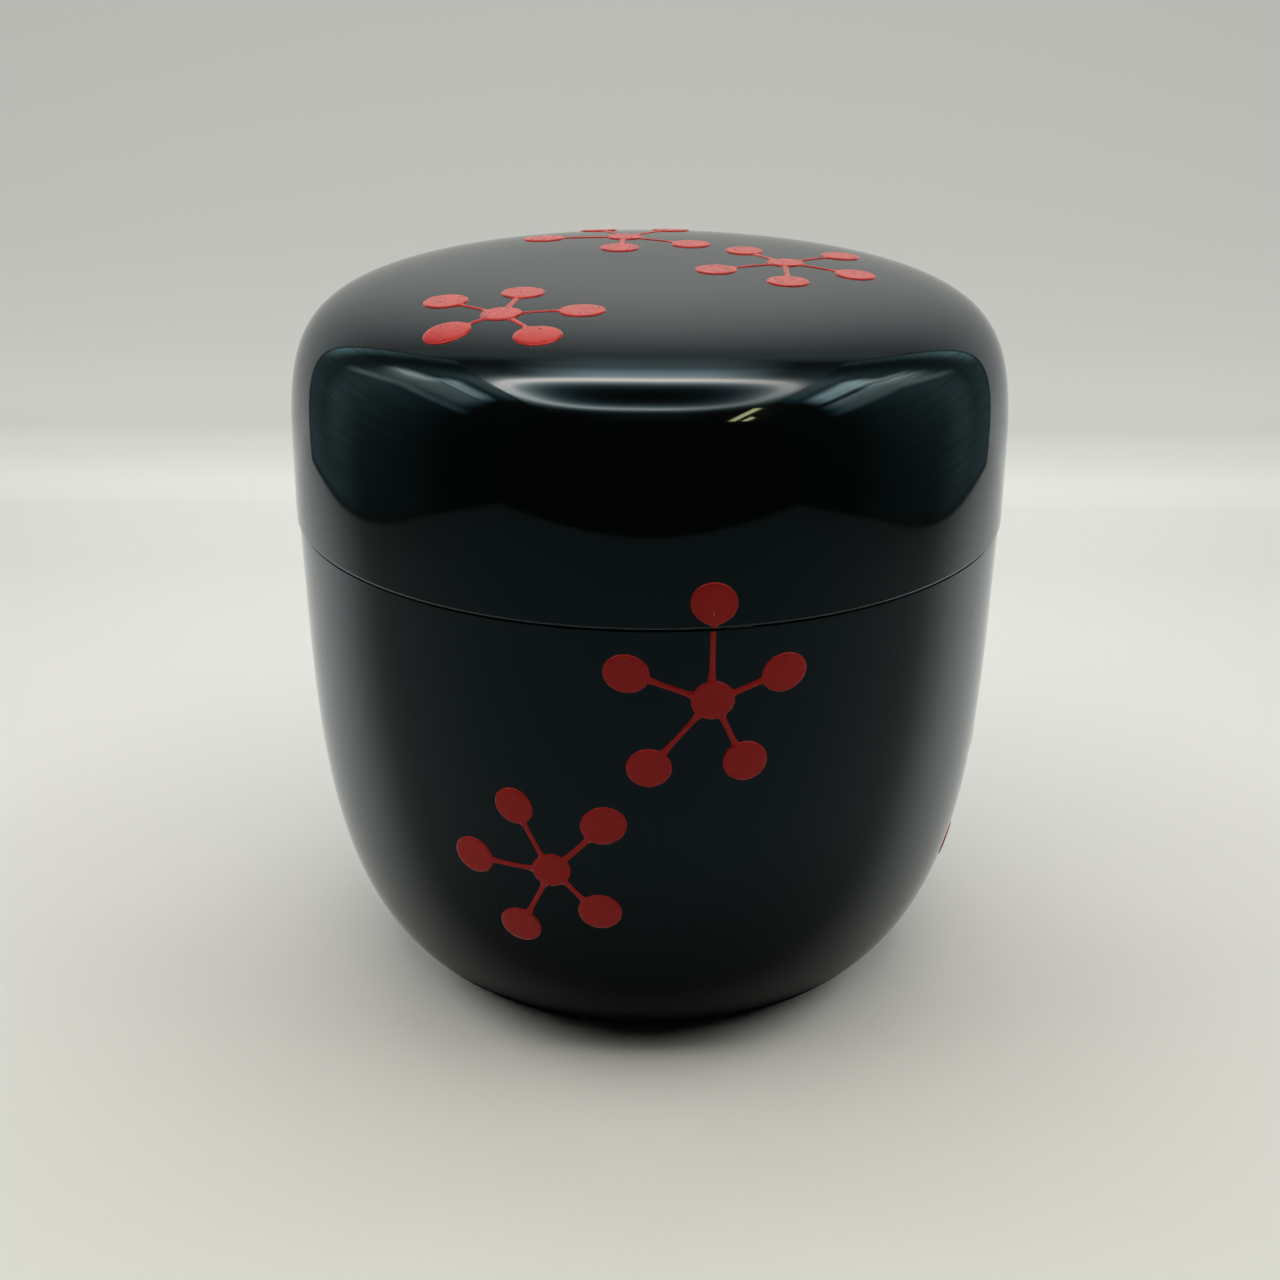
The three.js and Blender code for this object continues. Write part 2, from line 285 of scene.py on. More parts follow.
def makeBlackGloss():
    look, shader, place = newLook("polishedBlackLacquer")
    height = axesOf(look, place)[2]
    cloud = noiseAt(look, place, *blackGloss["cloud"])
    ground = blendColours(look, cloud, blackGloss["deep"], blackGloss["clouded"])
    edge = window(look, height, *blackGloss["edgeHighlightBand"])
    polish = noiseAt(look, place, *blackGloss["polish"])
    gloss = softSpread(look, facingAway(look), *blackGloss["slant"], *blackGloss["gloss"])
    swell = bumpFrom(look, noiseAt(look, place, *blackGloss["swell"]), *blackGloss["swellBump"])
    feed(look, shader, {
        # painted highlight: the lid's lower edge is painted paler in a thin band
        "Base Color": blendColours(look, edge, ground, blackGloss["wearAndHighlight"]),
        "Roughness": roughFrom(look, polish, *blackGloss["rough"]),
        "IOR": blackGloss["ior"],
        # painted shade in the reflection: less gloss low on the body
        "Specular IOR Level": multiply(look, gloss, softSpread(look, height, *blackGloss["footShadeGloss"])),
        "Specular Tint": blackGloss["tint"],
        "Normal": bumpFrom(look, noiseAt(look, place, *blackGloss["skin"]), *blackGloss["skinBump"], swell),
    })
    return look


# Lacquer inside, rubbed down less than the outside
insideBlack = {
    "deep": (0.0034, 0.0040, 0.0046),
    "worn": (0.0070, 0.0074, 0.0076),
    "rub": (300, 4, 0.6, (1, 1, 6)),
    "ior": 1.42,
    "rough": (0.12, 0.22),
    "bump": (0.006 * mm, 0.3),
}


def makeInsideBlack():
    look, shader, place = newLook("insideBlackLacquer")
    rubbing = noiseAt(look, place, *insideBlack["rub"])
    feed(look, shader, {
        "Base Color": blendColours(look, rubbing, insideBlack["deep"], insideBlack["worn"]),
        "Roughness": roughFrom(look, rubbing, *insideBlack["rough"]),
        "IOR": insideBlack["ior"],
        "Normal": bumpFrom(look, rubbing, *insideBlack["bump"]),
    })
    return look


# Satin lacquer under the foot, rubbed paler where it stands
footBlack = {
    "deep": (0.0040, 0.0048, 0.0050),
    "wearAndHighlight": (0.016, 0.015, 0.014),
    "standing": (0.0, 0.12 * mm, 0.8, 0.0),
    "scuff": (900, 5, 0.7),
    "scuffed": (0.45, 0.65, 0.0, 1.0),
    "ior": 1.42,
    "gloss": 0.1,
    "rough": (0.26, 0.40),
    "haze": (500, 3),
    "bump": (0.004 * mm, 0.3),
}


def makeFootBlack():
    look, shader, place = newLook("satinFootLacquer")
    low = spread(look, axesOf(look, place)[2], *footBlack["standing"])
    scuff = spread(look, noiseAt(look, place, *footBlack["scuff"]), *footBlack["scuffed"])
    feed(look, shader, {
        "Base Color": blendColours(look, multiply(look, low, scuff), footBlack["deep"], footBlack["wearAndHighlight"]),
        "Roughness": roughFrom(look, noiseAt(look, place, *footBlack["haze"]), *footBlack["rough"]),
        "IOR": footBlack["ior"],
        "Specular IOR Level": footBlack["gloss"],
        "Normal": bumpFrom(look, scuff, *footBlack["bump"]),
    })
    return look


# Red lacquer paint of the blossoms, laid on with a brush, and painted lighter on the flat top, where more light falls
redFilm = {
    "thick": (0.315, 0.0125, 0.0113),
    "thin": (0.275, 0.0118, 0.0106),
    "pool": (480, 3, 0.55),
    # colour of the paint on the lid's flat top, painted lighter for the light that falls from above
    "top": (0.365, 0.0120, 0.0094),
    "litTopBand": (50 * mm, 58 * mm, 0, 1),
    "ior": 2.1,
    "gloss": (0.03, 1.0),
    "slant": (0.52, 0.75),
    "rough": (0.26, 0.34),
    "haze": (1500, 3),
    "poolBump": (0.006 * mm, 0.04),
    "grit": (3000, 2),
    "gritBump": (0.001 * mm, 0.04),
}


def makeRedFilm():
    look, shader, place = newLook("redBlossomPaint")
    pooling = noiseAt(look, place, *redFilm["pool"])
    laid = blendColours(look, pooling, redFilm["thin"], redFilm["thick"])
    # painted light: the paint is lighter on the flat top
    litOnTop = softSpread(look, axesOf(look, place)[2], *redFilm["litTopBand"])
    stroke = bumpFrom(look, pooling, *redFilm["poolBump"])
    feed(look, shader, {
        "Base Color": blendColours(look, litOnTop, laid, redFilm["top"]),
        "Roughness": roughFrom(look, noiseAt(look, place, *redFilm["haze"]), *redFilm["rough"]),
        "IOR": redFilm["ior"],
        "Specular IOR Level": softSpread(look, facingAway(look), *redFilm["slant"], *redFilm["gloss"]),
        "Normal": bumpFrom(look, noiseAt(look, place, *redFilm["grit"]), *redFilm["gritBump"], stroke),
    })
    return look


# Turned wood of the two cores, grain along X
coreWood = {
    "pale": (0.52, 0.33, 0.16),
    "dark": (0.33, 0.18, 0.075),
    "fibre": (900, 5, 0.65, (0.06, 1, 1)),
    "bands": (160, 3, 0.5, (0.12, 1, 1)),
    "grain": (0.12, 0.40, 0, 1),
    "rough": (0.55, 0.75),
    "bump": (0.03 * mm, 0.5),
}


def makeCoreWood():
    look, shader, place = newLook("turnedCoreWood")
    fibre = noiseAt(look, place, *coreWood["fibre"])
    bands = noiseAt(look, place, *coreWood["bands"])
    grain = spread(look, multiply(look, fibre, bands), *coreWood["grain"])
    feed(look, shader, {
        "Base Color": blendColours(look, grain, coreWood["pale"], coreWood["dark"]),
        "Roughness": roughFrom(look, fibre, *coreWood["rough"]),
        "Normal": bumpFrom(look, fibre, *coreWood["bump"]),
    })
    return look


blackGlossLook = makeBlackGloss()
insideBlackLook = makeInsideBlack()
footBlackLook = makeFootBlack()
redFilmLook = makeRedFilm()
coreWoodLook = makeCoreWood()
for coreName in ("body_core", "lid_core"):
    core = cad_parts[coreName].data
    core.materials.clear()
    core.materials.append(coreWoodLook)
print("finishes mixed")

# Outside of the lid: low dome, tight shoulder, side that widens a little to its edge
lidShape = {
    "tuck": 0.06 * mm,
    "shoulder": 7.4 * mm,
    "flat": 0.873,
    "lean": (0.9, 0.1),  # degrees at the shoulder and at the edge
}


def makeLidCoat():
    radius = caddy["lidRadius"]
    seat = caddy["seat"]
    shoulderRadius = radius - lidShape["tuck"]
    shoulderHeight = seat + lidShape["shoulder"]
    shoulderLean, edgeLean = (tan(radians(angle)) for angle in lidShape["lean"])
    rise = caddy["lidTop"] - shoulderHeight
    fall = (lidShape["shoulder"] - caddy["edge"]) / 3
    lid = drawLine("lidOutside", [
        knot(0, caddy["lidTop"], after=(shoulderRadius * lidShape["flat"], caddy["lidTop"])),
        knot(shoulderRadius, shoulderHeight, before=(shoulderRadius - shoulderLean * rise, caddy["lidTop"]),
             after=(shoulderRadius + shoulderLean * fall, shoulderHeight - fall)),
        knot(radius, seat + caddy["edge"], before=(radius - edgeLean * fall, seat + caddy["edge"] + fall)),
        knot(radius, seat),
        knot(caddy["boreRadius"], seat),
    ])
    turnOnLathe(lid)
    giveThickness(lid, caddy["coat"], -1)
    roundEdges(lid, [(radius, seat)], caddy["edge"], caddy["edgeSteps"])
    return finishPiece(lid, "lidOuterLacquer", "lid", "lid_outer_coat", blackGlossLook)


# Outside of the body: nearly upright at the seat, full below, drawn in to the foot
bodyShape = {"tuck": 0.5 * mm, "fall": 0.355, "flare": 12 * mm, "rise": 5.5 * mm}


def makeBodyCoat():
    radius = caddy["bodyRadius"]
    seat = caddy["seat"]
    foot, footRadius = caddy["footLine"], caddy["footRadius"]
    body = drawLine("bodyOutside", [
        knot(caddy["rimRadius"] - caddy["coat"], seat),
        knot(radius, seat),
        knot(radius, seat - caddy["edge"], after=(radius - bodyShape["tuck"], seat * (1 - bodyShape["fall"]))),
        knot(footRadius, foot, before=(footRadius + bodyShape["flare"], foot + bodyShape["rise"])),
    ])
    turnOnLathe(body)
    giveThickness(body, caddy["coat"], -1)
    roundEdges(body, [(radius, seat)], caddy["edge"], caddy["edgeSteps"])
    return finishPiece(body, "bodyOuterLacquer", "body", "body_outer_coat", blackGlossLook)


# Rim that the lid slides over, and the tea well inside it
mouthShape = {
    "rimThickness": 1.7 * mm,
    "lipRound": 0.45 * mm,
    "wallPull": (-0.574 * mm, -15.0 * mm),
    "floorRadius": 18.2 * mm,
    "floorPull": (11.06 * mm, 3.75 * mm),
    "floorEase": 2 * mm,
}


def makeMouthCoat():
    outer = caddy["rimRadius"]
    inner = outer - mouthShape["rimThickness"]
    top = caddy["rimTop"]
    floor = caddy["wellFloor"]
    floorRadius = mouthShape["floorRadius"]
    wallPull, floorPull = mouthShape["wallPull"], mouthShape["floorPull"]
    mouth = drawLine("mouthInside", [
        knot(outer, caddy["seat"] - caddy["coat"]),
        knot(outer, top),
        knot(inner, top),
        knot(inner, caddy["seat"], after=(inner + wallPull[0], caddy["seat"] + wallPull[1])),
        knot(floorRadius, floor, before=(floorRadius + floorPull[0], floor + floorPull[1]),
             after=(floorRadius - mouthShape["floorEase"], floor)),
        knot(0, floor, before=(floorRadius / 2, floor)),
    ])
    turnOnLathe(mouth)
    return mouth


# Underside of the lid
liningShape = {"corner": 7.6 * mm, "share": 0.6, "pull": 0.85}


def makeLidLining():
    bore = caddy["boreRadius"]
    ceiling = caddy["ceiling"]
    cornerStart = ceiling - liningShape["corner"]
    lining = drawLine("lidInside", [
        knot(bore, caddy["seat"] + caddy["coat"]),
        knot(bore, cornerStart, after=(bore, cornerStart + liningShape["corner"] * liningShape["pull"])),
        knot(bore * liningShape["share"], ceiling, before=(bore * liningShape["pull"], ceiling)),
        knot(0, ceiling),
    ])
    turnOnLathe(lining)
    giveThickness(lining, caddy["coat"], 1)
    return finishPiece(lining, "lidInnerLacquer", "lid", "lid_inner_coat", insideBlackLook)


# Underside: a ring to stand on round a shallow recess
footShape = {"ring": 2.6 * mm, "recess": 0.7 * mm, "round": 0.12 * mm, "roundSteps": 4}


def makeFootCoat():
    stand = caddy["footRadius"] - caddy["coat"]
    ringInner = stand - footShape["ring"]
    recessRadius = ringInner - footShape["recess"]
    foot = drawLine("footUnderside", [
        knot(caddy["footRadius"], caddy["footLine"]),
        knot(stand, 0),
        knot(ringInner, 0),
        knot(recessRadius, footShape["recess"]),
        knot(0, footShape["recess"]),
    ])
    turnOnLathe(foot)
    return foot, stand, ringInner, recessRadius


def makeTurnedCoats():
    lid = makeLidCoat()
    body = makeBodyCoat()
    makeLidLining()

    mouth = makeMouthCoat()
    giveThickness(mouth, caddy["coat"], -1)
    inner = caddy["rimRadius"] - mouthShape["rimThickness"]
    lip = [(caddy["rimRadius"], caddy["rimTop"]), (inner, caddy["rimTop"])]
    roundEdges(mouth, lip, mouthShape["lipRound"], caddy["edgeSteps"])
    finishPiece(mouth, "bodyInnerLacquer", "body", "body_inner_coat", insideBlackLook)

    foot, stand, ringInner, recessRadius = makeFootCoat()
    giveThickness(foot, caddy["coat"], -1)
    ring = [(stand, 0), (ringInner, 0), (recessRadius, footShape["recess"])]
    roundEdges(foot, ring, footShape["round"], footShape["roundSteps"])
    finishPiece(foot, "footLacquer", "body", "foot_coat", footBlackLook)
    print("lacquer coats turned")
    return lid, body


# Discs and stalks of one blossom, drawn flat in the XY plane and then laid on its coat
brush = {
    "rimSteps": 48,
    "doorEdges": 3,  # rim edges that a stalk leaves from
    "rings": (0.07, 0.12, 0.25, 0.40, 0.45),  # from the rim to the middle of a disc
    "doorReach": 2.45 * mm,  # from a disc's centre to the farthest of its rim edges
    "stalkSteps": 9,
    "stalkFlare": 5,  # the higher, the shorter the flare at a stalk's ends
    "pullReach": 1.3 * mm,
    "standOff": 3 * mm,  # from the coat to the flat drawing before it is pressed on
    "film": 0.115 * mm,
    "sunk": 0.012 * mm,
    "levels": (0.34, 0.80, 0.95, 1.0),  # share of the film's height, from the rim inwards
    "smoothAngle": 60,
}


def addDisc(centre, width, height, tilt, pulls=()):
    # In edit mode: a round of paint one across, squashed and pulled out of true
    bpy.ops.mesh.primitive_circle_add(
        vertices=brush["rimSteps"], radius=0.5 * mm, fill_type="NGON", location=(*centre, 0))
    bpy.ops.transform.resize(value=(width, height, 1), center_override=(*centre, 0))
    # resized first and turned after, so that tilt is the angle of the long side
    bpy.ops.transform.rotate(value=-radians(tilt), orient_axis="Z", center_override=(*centre, 0))
    mesh = bmesh.from_edit_mesh(bpy.context.object.data)
    rim = [vert for vert in mesh.verts if vert.select]
    for angle, distance in pulls:
        out = Vector((cos(radians(angle)), sin(radians(angle)), 0))
        farthest = max(rim, key=lambda vert: (vert.co - Vector((*centre, 0))).normalized().dot(out))
        bpy.ops.mesh.select_all(action="DESELECT")
        farthest.select_set(True)
        bmesh.update_edit_mesh(bpy.context.object.data)
        bpy.ops.transform.translate(
            value=out * distance * mm, use_proportional_edit=True, use_proportional_connected=True,
            proportional_edit_falloff="SMOOTH", proportional_size=brush["pullReach"])
        mesh = bmesh.from_edit_mesh(bpy.context.object.data)
        rim = [vert for vert in mesh.verts if vert in rim]
    for vert in mesh.verts:
        vert.select_set(vert in rim)
    mesh.select_flush(True)
    bmesh.update_edit_mesh(bpy.context.object.data)
    for step in brush["rings"]:
        bpy.ops.mesh.inset(thickness=step * mm, use_even_offset=True)
    bpy.ops.mesh.poke()
    bpy.ops.mesh.select_all(action="DESELECT")


def middleOf(edge):
    return (edge.verts[0].co + edge.verts[1].co) / 2


def selectDoor(mesh, centre, towards):
    # The few rim edges of the disc at centre that face towards a point
    middle = Vector((*centre, 0))
    out = (Vector((*towards, 0)) - middle).normalized()
    edges = [
        edge for edge in mesh.edges
        if edge.is_boundary and (middleOf(edge) - middle).length < brush["doorReach"]
    ]
    edges.sort(key=lambda edge: -(middleOf(edge) - middle).normalized().dot(out))
    door = edges[:brush["doorEdges"]]
    for edge in door:
        edge.select_set(True)
    return door


def growStalk(piece, start, end, thickness, bow, discEnd):
    # Extrudes a door of the heart disc along the stalk, and bridges it to the petal disc
    mesh = bmesh.from_edit_mesh(piece.data)
    bpy.ops.mesh.select_mode(type="EDGE")
    bpy.ops.mesh.select_all(action="DESELECT")
    stop = Vector((*end, 0))
    if discEnd:
        farSpots = [middleOf(edge) for edge in selectDoor(mesh, end, start)]
        stop = sum(farSpots, Vector()) / len(farSpots)
        bpy.ops.mesh.select_all(action="DESELECT")
    near = selectDoor(mesh, start, end)
    bmesh.update_edit_mesh(piece.data)
    nearDoor = sum((middleOf(edge) for edge in near), Vector()) / len(near)
    doorWidth = sum(edge.calc_length() for edge in near)
    steps = brush["stalkSteps"]
    along = (stop - nearDoor) / steps
    across = Vector((-along.y, along.x, 0)).normalized()
    width = doorWidth
    last = steps - 1 if discEnd else steps
    shift = 0
    for step in range(1, last + 1):
        share = step / steps
        ends = abs(2 * share - 1) if discEnd else 1 - share
        wanted = thickness * mm + (doorWidth - thickness * mm) * ends ** brush["stalkFlare"]
        newShift = bow * mm * sin(pi * share)
        bpy.ops.mesh.extrude_region_move(TRANSFORM_OT_translate={"value": along + across * (newShift - shift)})
        shift = newShift
        spot = nearDoor + along * step + across * shift
        size = wanted / width
        bpy.ops.transform.resize(value=(size, size, 1), center_override=spot)
        width = wanted
    if discEnd:
        mesh = bmesh.from_edit_mesh(piece.data)
        for edge in mesh.edges:
            if edge.is_boundary and any((middleOf(edge) - spot).length < caddy["weld"] for spot in farSpots):
                edge.select_set(True)
        bmesh.update_edit_mesh(piece.data)
        bpy.ops.mesh.bridge_edge_loops()
    bpy.ops.mesh.select_all(action="DESELECT")
    bpy.ops.mesh.select_mode(type="VERT")


def filmWeights(piece):
    # The paint is thin at its rim and stands up a little way in
    mesh = bmesh.new()
    mesh.from_mesh(piece.data)
    level = {vert.index: 0 for vert in mesh.verts if vert.is_boundary}
    top = len(brush["levels"]) - 1
    for depth in range(1, top + 1):
        ring = [
            vert.index for vert in mesh.verts
            if vert.index not in level and any(edge.other_vert(vert).index in level for edge in vert.link_edges)
        ]
        for index in ring:
            level[index] = depth
    group = piece.vertex_groups.new(name="film")
    for vert in mesh.verts:
        group.add([vert.index], brush["levels"][level.get(vert.index, top)], "REPLACE")
    mesh.free()


def layOn(piece, coatPiece, spot, turn):
    # Stands the flat drawing in front of its coat, presses it on and gives it the film's height
    piece.matrix_world = Matrix.Translation(spot) @ turn.to_4x4()
    press = piece.modifiers.new("press", "SHRINKWRAP")
    press.target = coatPiece
    press.wrap_method = "PROJECT"
    press.use_project_z = True
    press.use_negative_direction = True
    press.use_positive_direction = False
    press.offset = -brush["sunk"]
    applyModifier(piece, press)
    bpy.ops.object.transform_apply(location=True, rotation=True, scale=True)
    filmWeights(piece)
    film = piece.modifiers.new("film", "SOLIDIFY")
    film.thickness = brush["film"] + brush["sunk"]
    film.offset = 1
    film.vertex_group = "film"
    applyModifier(piece, film)
    piece.vertex_groups.clear()


def facing(azimuth, lean):
    # Axes of a drawing on the side: X round the caddy, Y up it, Z out of it
    around = Vector((cos(azimuth), sin(azimuth), 0))
    out = Vector((sin(azimuth) * cos(lean), -cos(azimuth) * cos(lean), sin(lean)))
    up = out.cross(around)
    return Matrix((around, up, out)).transposed()


def paintBlossom(blossom, coatPiece):
    nothingSelected()
    heart = blossom["heart"]
    bpy.ops.mesh.primitive_circle_add(vertices=3, radius=0.1 * mm, location=(0, 0, 0))
    piece = bpy.context.object
    bpy.ops.object.mode_set(mode="EDIT")
    bpy.ops.mesh.delete(type="VERT")  # leaves an empty piece to draw in
    petals = []
    if heart:
        addDisc((0, 0), *heart)
    for angle, reach, width, height, tilt, stalk, bow, *pulls in blossom["petals"]:
        spot = (reach * mm * cos(radians(angle)), reach * mm * sin(radians(angle)))
        if width:
            addDisc(spot, width, height, tilt, pulls)
        petals.append((spot, stalk, bow, bool(width)))
    for spot, stalk, bow, discEnd in petals:
        if heart:
            growStalk(piece, (0, 0), spot, stalk, bow, discEnd)
        elif not discEnd:
            growStalk(piece, petals[0][0], spot, stalk, bow, False)
    bpy.ops.mesh.select_all(action="SELECT")
    bpy.ops.mesh.normals_make_consistent(inside=False)
    mesh = bmesh.from_edit_mesh(piece.data)
    if sum(face.normal.z for face in mesh.faces) < 0:
        bpy.ops.mesh.flip_normals()
    bpy.ops.object.mode_set(mode="OBJECT")
    azimuth = radians(blossom["azimuth"])
    if "out" in blossom:  # on top, seen from above with X to the right and Y to the back
        out = blossom["out"] * mm
        spot = Vector((out * sin(azimuth), -out * cos(azimuth), caddy["lidTop"] + brush["standOff"]))
        layOn(piece, coatPiece, spot, Matrix.Identity(3))
    else:
        lean = radians(blossom["lean"])
        height = blossom["height"] * mm
        turn = facing(azimuth, lean)
        surface = surfaceRadius(coatPiece, height)
        spot = Vector((surface * sin(azimuth), -surface * cos(azimuth), height))
        layOn(piece, coatPiece, spot + turn @ Vector((0, 0, brush["standOff"])), turn)
    name, body, node = blossom["name"], blossom["body"], blossom["node"]
    return finishPiece(piece, name, body, node, redFilmLook, brush["smoothAngle"])


def surfaceRadius(coatPiece, height):
    # Radius of a coat's outside at a height
    spot = coatPiece.ray_cast((100 * mm, 0, height), (-1, 0, 0))[1]
    return spot.x


# Petal: angle, reach, width, height, tilt, stalk width, stalk bow, then pulls (angle, distance); mm and degrees
lidBlossoms = [
    {
        "name": "lidBlossomLeft", "node": "lid_blossom_left", "body": "lid",
        "azimuth": -37.0, "out": 20.4,
        "heart": (3.5, 3.4, 20),
        "petals": [
            (3, 6.7, 3.9, 3.6, 10, 0.34, 0.1), (78, 6.7, 3.9, 3.8, 90, 0.52, 0), (137, 6.9, 4.0, 3.8, 130, 0.36, 0),
            (217, 5.2, 4.0, 3.8, 30, 0.44, 0), (301, 6.5, 4.1, 3.8, 150, 0.46, 0),
        ],
    },
    {
        "name": "lidBlossomRight", "node": "lid_blossom_right", "body": "lid",
        "azimuth": 105.0, "out": 12.85,
        "heart": (3.5, 3.3, 0),
        "petals": [
            (40.5, 7.3, 4.0, 3.6, 60, 0.30, 0), (123, 6.5, 3.9, 3.6, 90, 0.52, 0),
            (209, 7.4, 4.0, 3.8, 80, 0.40, 0), (268, 8.1, 4.0, 3.8, 90, 0.46, 0), (326, 7.3, 4.0, 3.7, 90, 0.32, 0),
        ],
    },
    {
        "name": "lidBlossomBack", "node": "lid_blossom_back", "body": "lid",
        "azimuth": 189.0, "out": 16.2,
        "heart": (3.5, 3.4, 0),
        "petals": [
            (55, 8.0, 3.9, 3.7, 40, 0.42, 0), (112, 7.4, 3.9, 3.8, 100, 0.46, 0), (183, 8.0, 4.0, 3.7, 0, 0.38, 0),
            (266, 6.2, 4.0, 3.8, 90, 0.50, 0), (328, 7.6, 4.0, 3.8, 60, 0.40, 0),
        ],
    },
    {
        # Upper disc of the front blossom, with its stalk down to the lid's edge
        "name": "lidBlossomFront", "node": "lid_blossom_front", "body": "lid",
        "azimuth": 9.05, "height": 47.4, "lean": 1.5,
        "heart": None,
        "petals": [
            (0, 0, 3.85, 3.5, 160, 0.5, 0, (268, 0.12)), (-88, 2.06, 0, 0, 0, 0.46, 0),
        ],
    },
]
bodyBlossoms = [
    {
        "name": "bodyBlossomFront", "node": "body_blossom_front", "body": "body",
        "azimuth": 9.22, "height": 38.87, "lean": -1,
        "heart": (3.6, 3.4, 0),
        "petals": [
            (17.8, 6.2, 3.85, 3.4, 12, 0.50, 0), (91, 6.05, 0, 0, 0, 0.42, 0),
            (160.4, 7.35, 3.75, 3.35, 160, 0.46, 0), (229.8, 7.85, 3.7, 3.5, 176, 0.42, 0),
            (296.3, 6.4, 3.75, 3.6, 166, 0.44, 0),
        ],
    },
    {
        "name": "bodyBlossomLeft", "node": "body_blossom_left", "body": "body",
        "azimuth": -14.56, "height": 22.30, "lean": -8,
        "heart": (3.5, 3.15, 35),
        "petals": [
            (46.9, 6.72, 3.95, 3.55, 24, 0.48, 0), (118, 6.62, 3.5, 3.25, 136, 0.42, 0),
            (181, 7.15, 3.6, 3.5, 153, 0.44, 0), (244.2, 7.35, 3.75, 3.6, 179, 0.42, 0),
            (315.7, 5.65, 3.75, 3.6, 22, 0.46, 0),
        ],
    },
    {
        "name": "bodyBlossomRight", "node": "body_blossom_right", "body": "body",
        "azimuth": 86.0, "height": 15.37, "lean": -18,
        "heart": (3.5, 3.3, 20),
        "petals": [
            (40, 6.65, 3.8, 3.5, 30, 0.46, 0), (105, 7.1, 3.7, 3.5, 120, 0.42, 0), (205, 6.6, 3.8, 3.5, 10, 0.44, 0),
            (275, 6.9, 3.8, 3.6, 0, 0.42, 0), (335, 6.4, 3.7, 3.5, 150, 0.46, 0),
        ],
    },
    {
        "name": "bodyBlossomBack", "node": "body_blossom_back", "body": "body",
        "azimuth": 158.0, "height": 29.83, "lean": -4,
        "heart": (3.5, 3.3, 160),
        "petals": [
            (12, 7.0, 3.8, 3.5, 20, 0.46, 0), (85, 6.6, 3.7, 3.6, 60, 0.42, 0), (160, 7.25, 3.8, 3.4, 160, 0.44, 0),
            (228, 6.8, 3.8, 3.6, 30, 0.42, 0), (301, 7.1, 3.7, 3.5, 140, 0.46, 0),
        ],
    },
    {
        "name": "bodyBlossomSide", "node": "body_blossom_side", "body": "body",
        "azimuth": -104.0, "height": 27.12, "lean": -5,
        "heart": (3.6, 3.3, 10),
        "petals": [
            (25, 6.65, 3.8, 3.5, 30, 0.46, 0), (98, 7.3, 3.7, 3.5, 120, 0.42, 0), (170, 6.85, 3.8, 3.4, 170, 0.44, 0),
            (240, 7.0, 3.8, 3.6, 0, 0.42, 0), (312, 6.5, 3.7, 3.5, 150, 0.46, 0),
        ],
    },
]


def paintBlossoms(lid, body):
    for blossom in lidBlossoms:
        paintBlossom(blossom, lid)
    for blossom in bodyBlossoms:
        paintBlossom(blossom, body)
    print("blossoms painted")


# 1 for camera, mirror and glass rays, so that a pale backdrop stays pale without lighting the caddy
def seenShare(look):
    path = addNode(look, "ShaderNodeLightPath").outputs
    either = calculate(look, "MAXIMUM", path["Is Camera Ray"], path["Is Glossy Ray"])
    return calculate(look, "MAXIMUM", either, path["Is Transmission Ray"])


def makeGlow(name, colour, strength):
    # Emission finish; strength builds its nodes from the look and its place, and so may colour
    look = bpy.data.materials.new(name)
    look.use_nodes = True
    look.node_tree.nodes.clear()
    place = addNode(look, "ShaderNodeTexCoord").outputs["Object"]
    if callable(colour):
        colour = colour(look, place)
    glow = addNode(look, "ShaderNodeEmission", {"Color": colour, "Strength": strength(look, place)})
    addNode(look, "ShaderNodeOutputMaterial", {"Surface": glow.outputs[0]})
    return look


# Paper floor that sweeps up into a back wall, which fades a little with height
studio = {
    "floorFront": -0.60,
    "floorSide": 0.70,
    "sweepStart": 0.15,
    "sweepRadius": 0.13,
    "sweepSteps": 32,
    "wallTop": 0.60,
    "cardLift": 1 * mm,  # how far the cards that stand on the floor keep off it
    # the floor towards the front is painted darker, as painted shade where less light reaches it
    "near": (0.808, 0.814, 0.773),
    "paper": (0.885, 0.892, 0.873),
    "wall": (0.08, 0.08, 0.078),
    "nearShadeFrom": (-0.055, 0.03),
    "wallFrom": (0.128, 0.178),
    "tooth": (2500, 3),
    "toothBump": (0.02 * mm, 0.1),
    "roughness": 0.8,
    "ior": 1.2,
    # distance back and up along the sweep in metres, and the pale glow that the lens sees there
    "fade": [
        (0.100, 0.0), (0.128, 0.06), (0.152, 0.34), (0.163, 0.47), (0.178, 0.535), (0.193, 0.53),
        (0.211, 0.50), (0.253, 0.465), (0.335, 0.435), (0.41, 0.435), (0.55, 0.36), (0.80, 0.36),
    ],
    "glow": (1.0, 1.005, 0.945),
}


def makePaper():
    look, shader, place = newLook("studioPaper")
    y, z = axesOf(look, place)[1:]
    back = calculate(look, "ADD", y, z)
    # painted shade: darker floor colour towards the front
    near = softSpread(look, y, *studio["nearShadeFrom"], 0, 1)
    far = softSpread(look, back, *studio["wallFrom"], 0, 1)
    floorColour = blendColours(look, near, studio["near"], studio["paper"])
    start, top = studio["fade"][0][0], studio["fade"][-1][0]
    ramp = addNode(look, "ShaderNodeValToRGB", {"Fac": spread(look, back, start, top, 0, 1)})
    stops = ramp.color_ramp.elements
    while len(stops) < len(studio["fade"]):
        stops.new(0.5)
    for stop, (distance, level) in zip(stops, studio["fade"]):
        stop.position = (distance - start) / (top - start)
        stop.color = (level, level, level, 1)
    feed(look, shader, {
        "Base Color": blendColours(look, far, floorColour, studio["wall"]),
        "Roughness": studio["roughness"],
        "IOR": studio["ior"],
        "Normal": bumpFrom(look, noiseAt(look, place, *studio["tooth"]), *studio["toothBump"]),
        "Emission Color": studio["glow"],
        "Emission Strength": multiply(look, seenShare(look), ramp.outputs["Color"]),
    })
    return look


